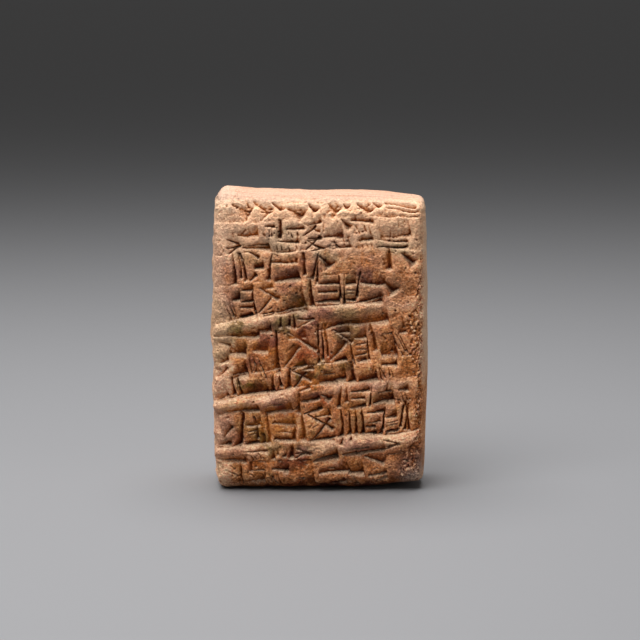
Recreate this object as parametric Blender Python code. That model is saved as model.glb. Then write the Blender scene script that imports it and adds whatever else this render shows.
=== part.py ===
"""A small inscribed clay tablet that stands on its lower edge.

One solid: a hand-formed block of clay with rounded edges, ruled bands that climb to
the right across its face, and rows of wedge strokes pressed in with a reed.
Metres, +Z up, the inscribed face towards -Y, the origin under the middle of the part.
"""

import math
import random

import bmesh
import bpy
from mathutils import Matrix, Vector

# Driving dimensions
WIDTH = 0.042
THICKNESS = 0.0184
HEIGHT = 0.0580

# Rounding of the edges: of the long and the short ones as seen from the front, of all of
# them through the thickness, and how square each corner is (2 is round, more is squarer)
SIDE_ROLL = 0.0026
END_ROLL = 0.0034
ROLL_DEPTH = 0.0052
SQUARENESS = {"low_left": 2.8, "low_right": 4.5, "top_left": 2.6, "top_right": 4.2}

# Swell of the faces and sides, and how the two ends depart from straight
FACE_CROWN = 0.0020
REVERSE_CROWN = 0.0020
REVERSE_FLAT = 0.86  # share of the crown at which the reverse is pressed flat
SIDE_BOW = 0.0006
TOP_LEFT_RISE = 0.0006
TOP_RIGHT_DROP = 0.00115
LOW_RIGHT_RISE = 0.00115
LOW_FLAT_END = 0.007  # the lower edge is flat as far as this right of the middle

# Ruled lines of the face: the share of the height down from the top at the left edge,
# the middle and the right edge, and how proud the band below the line stands
RULED_LINES = (
    (0.000, 0.000, 0.000, 0.00000),
    (0.100, 0.083, 0.066, 0.00024),
    (0.160, 0.136, 0.136, 0.00014),
    (0.210, 0.177, 0.174, 0.00024),
    (0.317, 0.267, 0.253, 0.00018),
    (0.438, 0.371, 0.338, 0.00044),
    (0.509, 0.440, 0.395, 0.00016),
    (0.617, 0.567, 0.522, 0.00036),
    (0.695, 0.636, 0.602, 0.00044),
    (0.745, 0.722, 0.695, 0.00016),
    (0.845, 0.817, 0.792, 0.00038),
    (0.903, 0.888, 0.873, 0.00020),
    (1.000, 1.000, 1.000, 0.00000),
)
ROWS = len(RULED_LINES) - 1
STRONG_BAND = 0.00030
BAND_FOOT = 0.8  # share of a row at which its band has sunk deepest

# Lattice of the block: columns, layers through the thickness, and levels in each row
COLUMNS = 18
LAYERS = 6
LEVELS_PER_ROW = 3

# Strokes. A group is one kind of stroke, repeated side by side or one below another
GROUPS = (
    ("level", 1), ("level", 1), ("level", 2), ("level", 2), ("level", 3),
    ("upright", 1), ("upright", 1), ("upright", 2), ("upright", 3),
    ("slant", 1), ("slant", 2), ("corner", 1), ("corner", 2),
)  # fmt: skip
STROKE_ANGLES = {"level": 0.0, "upright": -90.0, "slant": -48.0, "corner": 28.0}
STROKE_DEPTH = 0.00085
STROKE_WIDTH = 0.0016
SHORT_STROKE = 0.0022
LEVEL_LENGTHS = (0.0030, 0.0070)
GROUP_GAPS = (0.0003, 0.0010)
DEEPEST_AT = 0.26  # share of a stroke's length from its head
FIRST_STROKE = 0.055
LAST_STROKE = 0.90
FACE_SEED = 41
REVERSE_SEED = 7
REVERSE_ROWS = 3
PROUD = 0.0006  # how far a cutter stands out of the clay


def blend(low, high, share):
    """The value a share of the way from low to high."""
    return low + (high - low) * share


def smooth(share):
    """0 to 1 with level ends."""
    share = min(max(share, 0.0), 1.0)
    return share * share * (3.0 - 2.0 * share)


def through_three(left, middle, right, share):
    """The parabola through three heights at shares 0, 0.5 and 1."""
    bend = 2.0 * (left + right) - 4.0 * middle
    return left + (right - left - bend) * share + bend * share * share


def ruled_height(across, row):
    """Height on the face at a share across it and a row number with a fraction."""
    index = min(int(row), ROWS - 1)
    above = through_three(*RULED_LINES[index][:3], across)
    below = through_three(*RULED_LINES[index + 1][:3], across)
    return HEIGHT * (1.0 - blend(above, below, row - index))


def rounded_offset(offset, squareness):
    """A point's offset from the block's inner box, brought onto the rounded surface."""
    seen = (abs(offset.x) ** squareness + abs(offset.z) ** squareness) ** (1.0 / squareness)
    reach = math.hypot(seen, offset.y)
    return offset / reach


def block_point(a, b, c):
    """Where the lattice point a, b, c (each -1 to 1 along X, Y, Z) lies on the smooth block."""
    across = (a + 1.0) / 2.0
    up = (c + 1.0) / 2.0
    on_face = smooth((1.0 - b) / 2.0)
    z = blend(HEIGHT * up, ruled_height(across, (1.0 - up) * ROWS), on_face)
    squareness = blend(
        blend(SQUARENESS["low_left"], SQUARENESS["low_right"], across),
        blend(SQUARENESS["top_left"], SQUARENESS["top_right"], across),
        z / HEIGHT,
    )
    half = Vector((WIDTH / 2.0 - SIDE_BOW, THICKNESS / 2.0, HEIGHT / 2.0))
    radii = Vector((SIDE_ROLL, ROLL_DEPTH, END_ROLL))
    flat = Vector((a * half.x, b * half.y, z - half.z))
    inner = Vector([min(max(f, r - h), h - r) for f, h, r in zip(flat, half, radii)])
    offset = Vector([(f - i) / r for f, i, r in zip(flat, inner, radii)])
    offset = rounded_offset(offset, squareness)
    return deformed(inner + Vector([o * r for o, r in zip(offset, radii)]), half)


def deformed(point, half):
    """The hand-made departures of the block from a true rounded box."""
    x, y, z = point
    wide, high = x / half.x, z / half.z
    if y < 0.0:
        y += FACE_CROWN * (1.0 - 0.5 * wide**2) * (1.0 - high**4) * y / half.y
    else:
        dome = max(1.0 - wide**2, 0.0) * max(1.0 - high**2, 0.0)
        y += REVERSE_CROWN * min(dome, REVERSE_FLAT) * y / half.y
    x += SIDE_BOW * (1.0 - high * high) * wide
    rise = TOP_LEFT_RISE * math.exp(-(((wide + 0.88) / 0.17) ** 2))
    drop = TOP_RIGHT_DROP * smooth((wide - 0.3) / 0.85)
    lift = LOW_RIGHT_RISE * smooth((x - LOW_FLAT_END) / (half.x - LOW_FLAT_END))
    z += smooth(high) * (rise - drop) + smooth(-high) * lift
    return Vector((x, y, z + half.z))


def band_relief(across, row):
    """How far the ruled bands stand out: crest at each line, sinking to the foot of its row."""
    index = min(int(row), ROWS - 1)
    fraction = row - index
    crest = RULED_LINES[index][3]
    next_crest = RULED_LINES[index + 1][3]
    margin = smooth(across / 0.05) * smooth((1.0 - across) / 0.09)
    if fraction < BAND_FOOT:
        return margin * blend(crest, -next_crest, smooth(fraction / BAND_FOOT))
    return margin * blend(-next_crest, next_crest, (fraction - BAND_FOOT) / (1.0 - BAND_FOOT))


def crowded(share, amount):
    """Moves a lattice share in -1..1 towards its ends, so that rounded edges get more points."""
    return blend(share, math.sin(share * math.pi / 2.0), amount)


def cut_along(mesh, axis, count):
    """Cuts every edge that runs along an axis into count equal lengths."""
    along = [e for e in mesh.edges if abs((e.verts[0].co - e.verts[1].co)[axis]) > 1.0]
    bmesh.ops.subdivide_edges(mesh, edges=along, cuts=count - 1, use_grid_fill=True)


def make_block(collection, material):
    """The clay block with its ruled bands, as one closed mesh."""
    mesh = bmesh.new()
    bmesh.ops.create_cube(mesh, size=2.0)
    for axis, count in ((0, COLUMNS), (1, LAYERS), (2, ROWS * LEVELS_PER_ROW)):
        cut_along(mesh, axis, count)
    lattice = {}
    for vertex in mesh.verts:
        a, b, c = crowded(vertex.co.x, 0.5), crowded(vertex.co.y, 0.6), vertex.co.z
        lattice[vertex] = (a, b, c)
        vertex.co = block_point(a, b, c)
    mesh.normal_update()
    for vertex, (a, b, c) in lattice.items():
        on_face = smooth((-b - 0.35) / 0.6)
        relief = band_relief((a + 1.0) / 2.0, (1.0 - c) / 2.0 * ROWS)
        vertex.co += vertex.normal * relief * on_face
    bmesh.ops.triangulate(mesh, faces=mesh.faces[:])
    data = bpy.data.meshes.new("tablet")
    mesh.to_mesh(data)
    mesh.free()
    data.materials.append(material)
    block = bpy.data.objects.new("tablet", data)
    collection.objects.link(block)
    return block


def row_strokes(dice, row, top):
    """(share across, row, kind, length, width, turn) of each stroke in a row, written below top."""
    across = FIRST_STROKE + dice.uniform(0.0, 0.02)
    while across < LAST_STROKE:
        kind, count = dice.choice(GROUPS)
        tall = (ruled_height(across, row + top) - ruled_height(across, row + 1.0)) * 0.94
        width = min(STROKE_WIDTH, tall / count) if kind == "level" else STROKE_WIDTH
        long = dice.uniform(*LEVEL_LENGTHS) if kind == "level" else tall
        if kind in ("slant", "corner"):
            long = min(SHORT_STROKE * dice.uniform(0.9, 1.5), tall)
        for number in range(count):
            shift = 0.0 if kind == "level" else number * STROKE_WIDTH / WIDTH
            down = (number + 0.5) / count if kind == "level" else dice.uniform(0.16, 0.3)
            if kind == "corner":
                down += 0.25
            length = long * dice.uniform(0.85, 1.0)
            place = row + top + (1.0 - top) * down
            yield across + shift, place, kind, length, width, dice.uniform(-7.0, 7.0)
        reach = long if kind == "level" else count * STROKE_WIDTH
        across += (reach + dice.uniform(*GROUP_GAPS)) / WIDTH


def stroke_cutter(name, frame, kind, length, width, turn):
    """A three-sided point as a reed's corner presses it: wide head, long tail, deep near the head."""
    point, right, up, out = frame
    depth = STROKE_DEPTH * min(width / STROKE_WIDTH, 1.0)
    grow = (depth + PROUD) / depth
    angle = math.radians(STROKE_ANGLES[kind] + turn)
    along = right * math.cos(angle) + up * math.sin(angle)
    aside = out.cross(along)
    head, tail = -DEEPEST_AT * length * grow, (1.0 - DEEPEST_AT) * length * grow
    corners = ((head, width / 2.0 * grow), (head, -width / 2.0 * grow), (tail, 0.0))
    mesh = bmesh.new()
    bmesh.ops.create_cone(mesh, cap_ends=True, segments=3, radius1=1.0, radius2=0.0, depth=1.0)
    foot = [v for v in mesh.verts if v.co.z < 0.0]
    tip = next(v for v in mesh.verts if v.co.z > 0.0)
    for vertex, (s, t) in zip(foot, corners):
        vertex.co = point + along * s + aside * t + out * PROUD
    tip.co = point - out * depth
    if mesh.calc_volume(signed=True) < 0.0:
        bmesh.ops.reverse_faces(mesh, faces=mesh.faces[:])
    data = bpy.data.meshes.new(name)
    mesh.to_mesh(data)
    mesh.free()
    cutter = bpy.data.objects.new(name, data)
    cutter.hide_render = True
    cutter.display_type = "WIRE"
    return cutter


def surface_frame(across, side, row):
    """Point, right, up and outward directions on the face (side -1) or the reverse (side 1)."""
    a = -side * (2.0 * across - 1.0)
    c = 1.0 - 2.0 * row / ROWS
    step = 0.01
    point = block_point(a, side, c)
    right = block_point(a - side * step, side, c) - block_point(a + side * step, side, c)
    up = block_point(a, side, c + step) - block_point(a, side, c - step)
    right.normalize()
    out = right.cross(up).normalized()
    if side < 0.0:
        point += out * band_relief(across, row)
    return point, right, out.cross(right), out


def make_cutters(collection):
    """One cutter for each main stroke of the face and of the upper rows of the reverse."""
    pages = ((-1.0, FACE_SEED, ROWS - 2), (1.0, REVERSE_SEED, REVERSE_ROWS))
    for side, seed, rows in pages:
        dice = random.Random(seed)
        for row in range(1, rows + 1):
            strong = side < 0.0 and RULED_LINES[row][3] > STRONG_BAND
            for across, place, *stroke in row_strokes(dice, row, 0.40 if strong else 0.14):
                name = f"stroke_{len(collection.objects):03d}"
                frame = surface_frame(across, side, place)
                collection.objects.link(stroke_cutter(name, frame, *stroke))


def clay():
    """Sun-dried clay, warm tan."""
    material = bpy.data.materials.new("clay")
    material.use_nodes = True
    shader = material.node_tree.nodes["Principled BSDF"]
    shader.inputs["Base Color"].default_value = (0.44, 0.23, 0.12, 1.0)
    shader.inputs["Roughness"].default_value = 0.85
    shader.inputs["Metallic"].default_value = 0.0
    return material


def centring_shift(block):
    """The move that puts the middle of the underside of the block's box on the origin."""
    low = [min(v.co[i] for v in block.data.vertices) for i in range(3)]
    high = [max(v.co[i] for v in block.data.vertices) for i in range(3)]
    return Matrix.Translation((-(low[0] + high[0]) / 2.0, -(low[1] + high[1]) / 2.0, -low[2]))


def main():
    for old in list(bpy.data.objects):
        bpy.data.objects.remove(old)
    parts = bpy.data.collections.new("tablet")
    cutters = bpy.data.collections.new("cutters")
    for collection in (parts, cutters):
        bpy.context.scene.collection.children.link(collection)
    block = make_block(parts, clay())
    make_cutters(cutters)
    shift = centring_shift(block)
    for item in (block, *cutters.objects):
        item.data.transform(shift)
    press = block.modifiers.new("strokes", "BOOLEAN")
    press.operation = "DIFFERENCE"
    press.operand_type = "COLLECTION"
    press.collection = cutters


main()
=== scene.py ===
import math
import random
import time

import bmesh
import bpy
import numpy as np
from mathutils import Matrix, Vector


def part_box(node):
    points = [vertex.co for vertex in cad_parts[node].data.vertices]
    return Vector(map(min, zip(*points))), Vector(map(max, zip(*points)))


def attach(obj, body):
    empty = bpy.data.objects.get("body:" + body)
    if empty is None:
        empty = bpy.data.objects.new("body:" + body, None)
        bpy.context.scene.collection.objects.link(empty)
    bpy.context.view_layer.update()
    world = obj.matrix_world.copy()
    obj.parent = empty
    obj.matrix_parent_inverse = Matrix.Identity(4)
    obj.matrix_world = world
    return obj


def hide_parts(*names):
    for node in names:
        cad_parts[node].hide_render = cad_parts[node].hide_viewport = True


startTime = time.time()
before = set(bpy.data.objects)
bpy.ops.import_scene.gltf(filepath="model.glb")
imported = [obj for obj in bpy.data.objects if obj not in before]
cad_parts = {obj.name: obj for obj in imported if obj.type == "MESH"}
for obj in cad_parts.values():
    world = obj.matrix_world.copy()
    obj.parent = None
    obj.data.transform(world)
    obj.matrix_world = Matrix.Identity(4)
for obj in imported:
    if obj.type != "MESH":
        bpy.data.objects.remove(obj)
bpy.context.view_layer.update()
lowCorner, highCorner = (np.array(corner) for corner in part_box("tablet"))
cadSize = highCorner - lowCorner
mm = 0.001
tiny = 1e-9  # keeps divisions off zero
print("frame loaded, tablet size in mm:", (cadSize / mm).round(1).tolist())


def mix(low, high, share):
    return low + (high - low) * share


def smooth(share):  # 0 to 1 with level ends
    share = np.clip(share, 0.0, 1.0)
    return share * share * (3.0 - 2.0 * share)


def ramp(value, start, run, ragged=0.0):  # 0 up to start, 1 a run further on
    return smooth((value - start) / run + ragged)


def linear(hexColor):  # an sRGB hex value as linear RGBA
    parts = [int(hexColor[i:i + 2], 16) / 255.0 for i in (1, 3, 5)]
    return [p / 12.92 if p <= 0.04045 else ((p + 0.055) / 1.055) ** 2.4 for p in parts] + [1.0]


scramble = {  # how a lattice corner is turned into a chance value
    "shift": np.array([17.31, 5.77, 11.93]),
    "corner": np.array([73856093, 19349663, 83492791]),
    "seed": 7919,
    "rounds": ((13, 1274126177), (15, 2246822519)),
}


def cloud(points, size, seed):  # soft lumps of the given size in metres, -1 to 1
    spots = points / size + seed * scramble["shift"]
    cell = np.floor(spots).astype(np.int64)
    part = smooth(spots - cell)
    total = np.zeros(len(points))
    for corner in np.ndindex(2, 2, 2):
        key = (cell + corner) @ scramble["corner"] + seed * scramble["seed"]
        for step, factor in scramble["rounds"]:
            key = (key ^ (key >> step)) * factor & 0xFFFFFFFF
        weight = np.prod(np.where(corner, part, 1.0 - part), axis=1)
        total += weight * ((key ^ (key >> 16)) & 0xFFFF)
    return total / (0xFFFF / 2) - 1.0


block = {
    "sideRoll": 2.6 * mm,  # rounding of the long edges as seen from the front
    "endRoll": 3.4 * mm,  # of the upper and lower edge
    "rollDepth": 5.2 * mm,  # and of all edges through the thickness
    # how square each corner is: 2 is round, more is squarer
    "squareness": {"lowLeft": 2.8, "lowRight": 4.5, "topLeft": 2.6, "topRight": 4.2},
    "faceCrown": 2.0 * mm,  # the face is nearly flat in the middle and falls away to its ends
    "faceFall": 0.5,  # how much of its crown the face loses towards its sides
    "reverseCrown": 2.0 * mm,
    "reverseFlat": 0.86,  # share of the crown at which the reverse is pressed flat
    "sideBow": 0.6 * mm,
    "topLeftRise": 0.6 * mm,
    "risen": (-0.88, 0.17),  # where that is and how wide, as shares of half the width
    "topRightDrop": 1.15 * mm,
    "dropping": (0.3, 0.85),  # where that starts and how far it runs
    "lowRightRise": 1.15 * mm,
    "lowFlatEnd": 7.0 * mm,  # where that starts, right of the middle
    "heightSpare": 0.57 * mm,  # kept for the risen corner
    "depthSpare": 0.4 * mm,  # kept for the relief
    "unrolledRoll": 0.67,  # share of a rolled edge's depth that it adds to the flat page
    "lattice": 0.11 * mm,  # spacing of the lattice before it is thinned out
    "sideLattice": 0.34 * mm,
    "sideCrowding": 0.6,  # how much its lines crowd towards the edges of the sides
    "mostTriangles": 198000,
    "faceCare": 6e-5,  # how much finer the written face is kept than the rest
    "thinning": (0.5, 1.0),  # weight on the face and on the plainer clay
    "weightSteps": 4,  # only a few, because each weight is added by itself
}
width = cadSize[0]
height = cadSize[2] - block["heightSpare"]
thickness = cadSize[1] - block["faceCrown"] - block["reverseCrown"] * block["reverseFlat"]
thickness -= block["depthSpare"]
halfSize = np.array([width / 2 - block["sideBow"], thickness / 2, height / 2])
radii = np.array([block["sideRoll"], block["rollDepth"], block["endRoll"]])


def latticeCube(counts):  # a cube from -1 to 1 with its sides cut into counts
    mesh = bmesh.new()
    bmesh.ops.create_cube(mesh, size=2.0)
    for axis, count in enumerate(counts):
        along = [e for e in mesh.edges if abs((e.verts[0].co - e.verts[1].co)[axis]) > 1.0]
        bmesh.ops.subdivide_edges(mesh, edges=along, cuts=count - 1, use_grid_fill=True)
    data = bpy.data.meshes.new("tabletClay")
    mesh.to_mesh(data)
    mesh.free()
    return data


def roundedOffset(places):  # the offset from the block's inner box, on its rounded surface
    inner = np.clip(places, radii - halfSize, halfSize - radii)
    offset = (places - inner) / radii
    across = (places[:, 0] / halfSize[0] + 1.0) / 2.0
    up = (places[:, 2] / halfSize[2] + 1.0) / 2.0
    corner = block["squareness"]
    power = mix(mix(corner["lowLeft"], corner["lowRight"], across),
                mix(corner["topLeft"], corner["topRight"], across), up)
    seen = (np.abs(offset[:, 0]) ** power + np.abs(offset[:, 2]) ** power) ** (1.0 / power)
    reach = np.maximum(np.hypot(seen, offset[:, 1]), tiny)
    return inner, offset / reach[:, None]


def shapedByHand(points):  # crowned faces, bowed sides, uneven ends
    x, y, z = points.T.copy()
    wide, high = x / halfSize[0], z / halfSize[2]
    dome = np.maximum(1.0 - wide ** 2, 0.0) * np.maximum(1.0 - high ** 2, 0.0)
    fall = (1.0 - block["faceFall"] * wide ** 2) * (1.0 - high ** 4)
    crown = np.where(y < 0.0, block["faceCrown"] * fall,
                     block["reverseCrown"] * np.minimum(dome, block["reverseFlat"]))
    y += crown * y / halfSize[1]
    flatEnd = block["lowFlatEnd"]
    place, spread = block["risen"]
    rise = block["topLeftRise"] * np.exp(-(((wide - place) / spread) ** 2))
    drop = block["topRightDrop"] * ramp(wide, *block["dropping"])
    lift = block["lowRightRise"] * ramp(x, flatEnd, halfSize[0] - flatEnd)
    z += smooth(high) * (rise - drop) + smooth(-high) * lift
    x += block["sideBow"] * (1.0 - high ** 2) * wide
    return np.stack([x, y, z + halfSize[2]], axis=1)


def unrolled(places):  # page coordinates: the face laid flat, its rolled edges included
    inner, offset = roundedOffset(places)
    seen = np.maximum(np.hypot(offset[:, 0], offset[:, 2]), tiny)
    depth = radii[1] * (1.0 - np.abs(offset[:, 1])) * block["unrolledRoll"]
    depth += np.maximum(halfSize[1] - radii[1] - np.abs(inner[:, 1]), 0.0)
    u = inner[:, 0] + offset[:, 0] * radii[0] + depth * offset[:, 0] / seen
    v = inner[:, 2] + offset[:, 2] * radii[2] + depth * offset[:, 2] / seen
    return u, v + halfSize[2], places[:, 1] < 0.0


def stamp(text):
    print(f"{text}, {time.time() - startTime:.1f} s")


# Reliefs are drawn on flat pages of heights and wrapped round the block afterwards
page = {
    "texel": 0.05 * mm,
    "margin": 9.0 * mm,  # how far the page runs past the block's outline
    "fade": (2.0 * mm, 3.0 * mm),  # over how much relief fades out: at the left edge, at the others
}
columns = int((width + 2 * page["margin"]) / page["texel"])
lines = int((height + 2 * page["margin"]) / page["texel"])
pageU = -width / 2 - page["margin"] + (np.arange(columns) + 0.5) * page["texel"]
pageV = -page["margin"] + (np.arange(lines) + 0.5) * page["texel"]
acrossPage = (pageU / width + 0.5)[None, :]  # shares of the face, 0 to 1 from left and from below
upPage = (pageV / height)[:, None]


def blur(picture, spread, tall=None):  # a soft copy; tall is its spread up and down if that differs
    rise = np.fft.fftfreq(picture.shape[0], page["texel"])[:, None] * (tall or spread)
    run = np.fft.rfftfreq(picture.shape[1], page["texel"])[None, :] * spread
    keep = np.exp(-2.0 * math.pi ** 2 * (rise ** 2 + run ** 2))
    return np.fft.irfft2(np.fft.rfft2(picture) * keep, s=picture.shape)


def blotches(spread, seed, tall=None):  # soft random page with a spread of 1
    noise = np.random.default_rng(seed).standard_normal((lines, columns))
    noise = blur(noise, spread, tall)
    return noise / noise.std()


def sampled(picture, u, v):  # page value at each place, blended between texels
    x = np.clip((u - pageU[0]) / page["texel"], 0, columns - 1.001)
    y = np.clip((v - pageV[0]) / page["texel"], 0, lines - 1.001)
    i, j = x.astype(int), y.astype(int)
    p, q = x - i, y - j
    return (picture[j, i] * (1 - p) * (1 - q) + picture[j, i + 1] * p * (1 - q)
            + picture[j + 1, i] * (1 - p) * q + picture[j + 1, i + 1] * p * q)


# The ruled lines: share of the height down from the top at the left edge, the middle
# and the right edge, and how proud the band below the line stands
ruledLines = (
    (0.000, 0.000, 0.000, 0.00 * mm),
    (0.097, 0.076, 0.056, 0.45 * mm),
    (0.159, 0.136, 0.136, 0.15 * mm),
    (0.209, 0.176, 0.172, 0.40 * mm),
    (0.312, 0.266, 0.249, 0.25 * mm),
    (0.434, 0.368, 0.336, 0.90 * mm),
    (0.499, 0.429, 0.382, 0.25 * mm),
    (0.612, 0.562, 0.519, 0.40 * mm),
    (0.693, 0.634, 0.602, 0.85 * mm),
    (0.739, 0.716, 0.689, 0.25 * mm),
    (0.849, 0.823, 0.796, 0.85 * mm),
    (0.902, 0.884, 0.869, 0.25 * mm),
    (1.000, 1.000, 1.000, 0.00 * mm),
)
rowCount = len(ruledLines) - 1


def lineHeight(row, u):  # height of a ruled line at a place across
    left, middle, right = ruledLines[row][:3]
    share = np.clip(u / width + 0.5, 0.0, 1.0)
    bend = 2.0 * (left + right) - 4.0 * middle
    return height * (1.0 - (left + (right - left - bend) * share + bend * share ** 2))


reed = {
    "rim": 0.17 * mm,  # clay pushed up along a stroke's edge
    "rimShare": 0.16,  # at most this share of the stroke's depth
    "rimWidth": 0.13 * mm,
    "mostRim": 0.34 * mm,
    "reach": 0.8 * mm,  # how far around a stroke its rim is worked out
    "tailEnd": 0.4 * mm,  # length over which the tail rises to the surface
    "leastTail": 0.4,  # share of the depth kept at the tail
    "broadWall": 1.6,  # 1 is a flat wall, more starts level and ends steep
    "narrowWall": 1.3,
    "narrowShare": 0.20,  # share of a stroke's width that its steep wall takes
    "rounding": ((0.17 * mm, 0.03 * mm), (0.60 * mm, 0.10 * mm)),  # how softly crests roll over
    # size and strength of the wobble that keeps strokes from looking ruled
    "jogs": ((2.6 * mm, 0.16 * mm), (0.9 * mm, 0.055 * mm), (0.25 * mm, 0.030 * mm)),
    "lots": (7.3e5, 3.1e5),  # scatter each stroke's place into a chance number
    "mostTinted": 9.0 * mm,  # longer strokes take no tint of their own
}


def wobble(seed):
    jogs = enumerate(reed["jogs"])
    return sum(blotches(size, seed + 7 * number) * strength for number, (size, strength) in jogs)


jogU, jogV = wobble(11), wobble(12)


def blankPage():  # its heights, a chance number for each stroke, and how upright the stroke is
    size = (lines, columns)
    return {"height": np.zeros(size), "lot": np.full(size, 0.5), "upright": np.zeros(size)}


def span(start, shift, reach, origin, count):  # the texels from start to start + shift, and a reach around
    first = int((min(start, start + shift) - reach - origin) / page["texel"])
    last = int((max(start, start + shift) + reach - origin) / page["texel"])
    return max(first, 0), min(last, count)


def pressWedge(clayPage, u, v, angle, long, leftWall, rightWall, deep, head, tail, scored=False):
    # u, v is the broad end of the stroke; walls are measured to each side of its deep line
    turn = math.radians(angle)
    across, up = math.cos(turn), math.sin(turn)
    reach = max(leftWall, rightWall) + reed["reach"]
    i0, i1 = span(u, long * across, reach, pageU[0], columns)
    j0, j1 = span(v, long * up, reach, pageV[0], lines)
    if i1 <= i0 or j1 <= j0:
        return
    window = (slice(j0, j1), slice(i0, i1))
    du = pageU[None, i0:i1] - u + jogU[window]
    dv = pageV[j0:j1, None] - v + jogV[window]
    along = du * across + dv * up
    aside = dv * across - du * up  # to the left of the stroke's direction
    share = np.clip(along / long, 0.0, 1.0)
    narrowing = mix(1.0, tail, share)
    onLeft = aside > 0.0
    wall = np.where(onLeft, leftWall, rightWall) * narrowing
    beyond = np.maximum(np.maximum(np.abs(aside) - wall, -along), along - long)
    power = np.where(onLeft == (leftWall > rightWall), reed["broadWall"], reed["narrowWall"])
    side = np.clip(1.0 - np.abs(aside) / wall, 0.0, 1.0) ** power
    ends = np.clip(np.minimum(along / head, (long - along) / reed["tailEnd"]), 0.0, 1.0)
    floor = -deep * mix(1.0, max(tail, reed["leastTail"]), share) * side * smooth(ends)
    rim = min(reed["rim"], reed["rimShare"] * deep) * np.exp(-np.abs(beyond) / reed["rimWidth"])
    old = clayPage["height"][window]
    if scored:  # a light stroke follows the clay it crosses, a firm one levels it
        floor += old
    cut = (beyond < 0.0) & (floor + rim < old)
    proud = np.minimum(old + rim, np.maximum(old, reed["mostRim"]))
    clayPage["height"][window] = np.where(beyond < 0.0, np.minimum(old, floor + rim), proud)
    lot = (abs(u) * reed["lots"][0] + v * reed["lots"][1]) % 1.0
    clayPage["lot"][window][cut] = lot if long < reed["mostTinted"] else 0.0
    clayPage["upright"][window][cut] = abs(up)


def repeated(shape, acrosses, ups, long, thick):  # the same stroke at several places
    return ((shape, across, up, long, thick) for across in acrosses for up in ups)


# Each kind of sign as strokes in its box: shape, place of the left or upper end across and
# up, length and thickness, all as shares of the box, then the angle of a slanting stroke.
# A beam is broad at its right end and a post at its foot. None of them is a letter.
signKinds = {
    "log": (("beam", 0.0, 0.06, 1.0, 1.1),),
    "lens": (("beam", 0.0, 0.16, 1.0, 0.9), ("line", 0.1, 0.62, 0.6, 0.6)),
    "pair": (("beam", 0.0, 0.56, 1.0, 0.52), ("beam", 0.06, 0.08, 0.94, 0.50)),
    "stack": (("beam", 0.0, 0.70, 0.9, 0.38), ("beam", 0.08, 0.40, 0.8, 0.34),
              ("beam", 0.0, 0.08, 0.9, 0.36), ("post", 0.98, 1.0, 1.0, 0.22)),
    "twins": (("post", 0.46, 1.0, 0.98, 0.56), ("post", 0.98, 1.02, 1.0, 0.56)),
    "posts": (("post", 0.32, 0.98, 0.94, 0.40), ("post", 0.66, 1.02, 1.0, 0.38),
              ("post", 1.0, 1.0, 0.98, 0.38)),
    "column": (("post", 0.9, 1.02, 1.04, 1.0),),
    "box": (("beam", 0.1, 0.58, 0.8, 0.5), *repeated("line", (0.16,), (0.48, 0.33, 0.18), 0.7, 0.8),
            ("beam", 0.12, 0.03, 0.74, 0.2), ("post", 0.12, 1.0, 1.0, 0.22), ("post", 0.98, 1.0, 1.0, 0.26)),
    "grate": (("beam", 0.0, 0.78, 0.9, 0.28), *repeated("beam", (0.0,), (0.54, 0.30, 0.06), 0.9, 0.26),
              ("post", 1.0, 1.0, 1.0, 0.3)),
    "crossed": (("beam", 0.16, 0.78, 0.7, 0.4), ("slope", 0.06, 0.92, 0.98, 0.34, -40.0),
                ("slope", 0.04, 0.06, 0.96, 0.34, 40.0), ("beam", 0.2, 0.02, 0.66, 0.24)),
    "arrow": (("slope", 0.10, 0.94, 0.6, 0.36, -36.0), ("slope", 0.08, 0.04, 0.62, 0.36, 36.0),
              ("beam", 0.3, 0.44, 0.7, 0.36)),
    "hatch": (("beam", 0.0, 0.60, 1.0, 0.46), *repeated("tick", (0.12, 0.34, 0.56, 0.78), (0.62,), 0.6, 0.8)),
    "grid": (*repeated("line", (0.1,), (0.74, 0.50, 0.26), 0.8, 0.7),
             *repeated("tick", (0.28, 0.52, 0.76), (0.86,), 0.76, 0.7), ("beam", 0.0, 0.02, 1.0, 0.2)),
    "fan": (("slope", 0.0, 0.98, 0.98, 0.36, -26.0), ("beam", 0.0, 0.42, 1.0, 0.34),
            ("slope", 0.0, 0.02, 0.98, 0.32, 24.0)),
    "spike": (("post", 0.34, 1.1, 0.75, 0.44), ("beam", 0.1, 0.04, 0.9, 0.3),
              ("slope", 0.4, 0.3, 0.6, 0.3, 36.0)),
    "corner": (("notch", 0.9, 0.30, 0.7, 0.8, 135.0),),
    "dent": (("notch", 1.0, 0.05, 1.0, 1.7, 145.0), ("slope", 0.1, 0.1, 0.9, 0.7, 35.0)),
    "plain": (),
}
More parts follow.
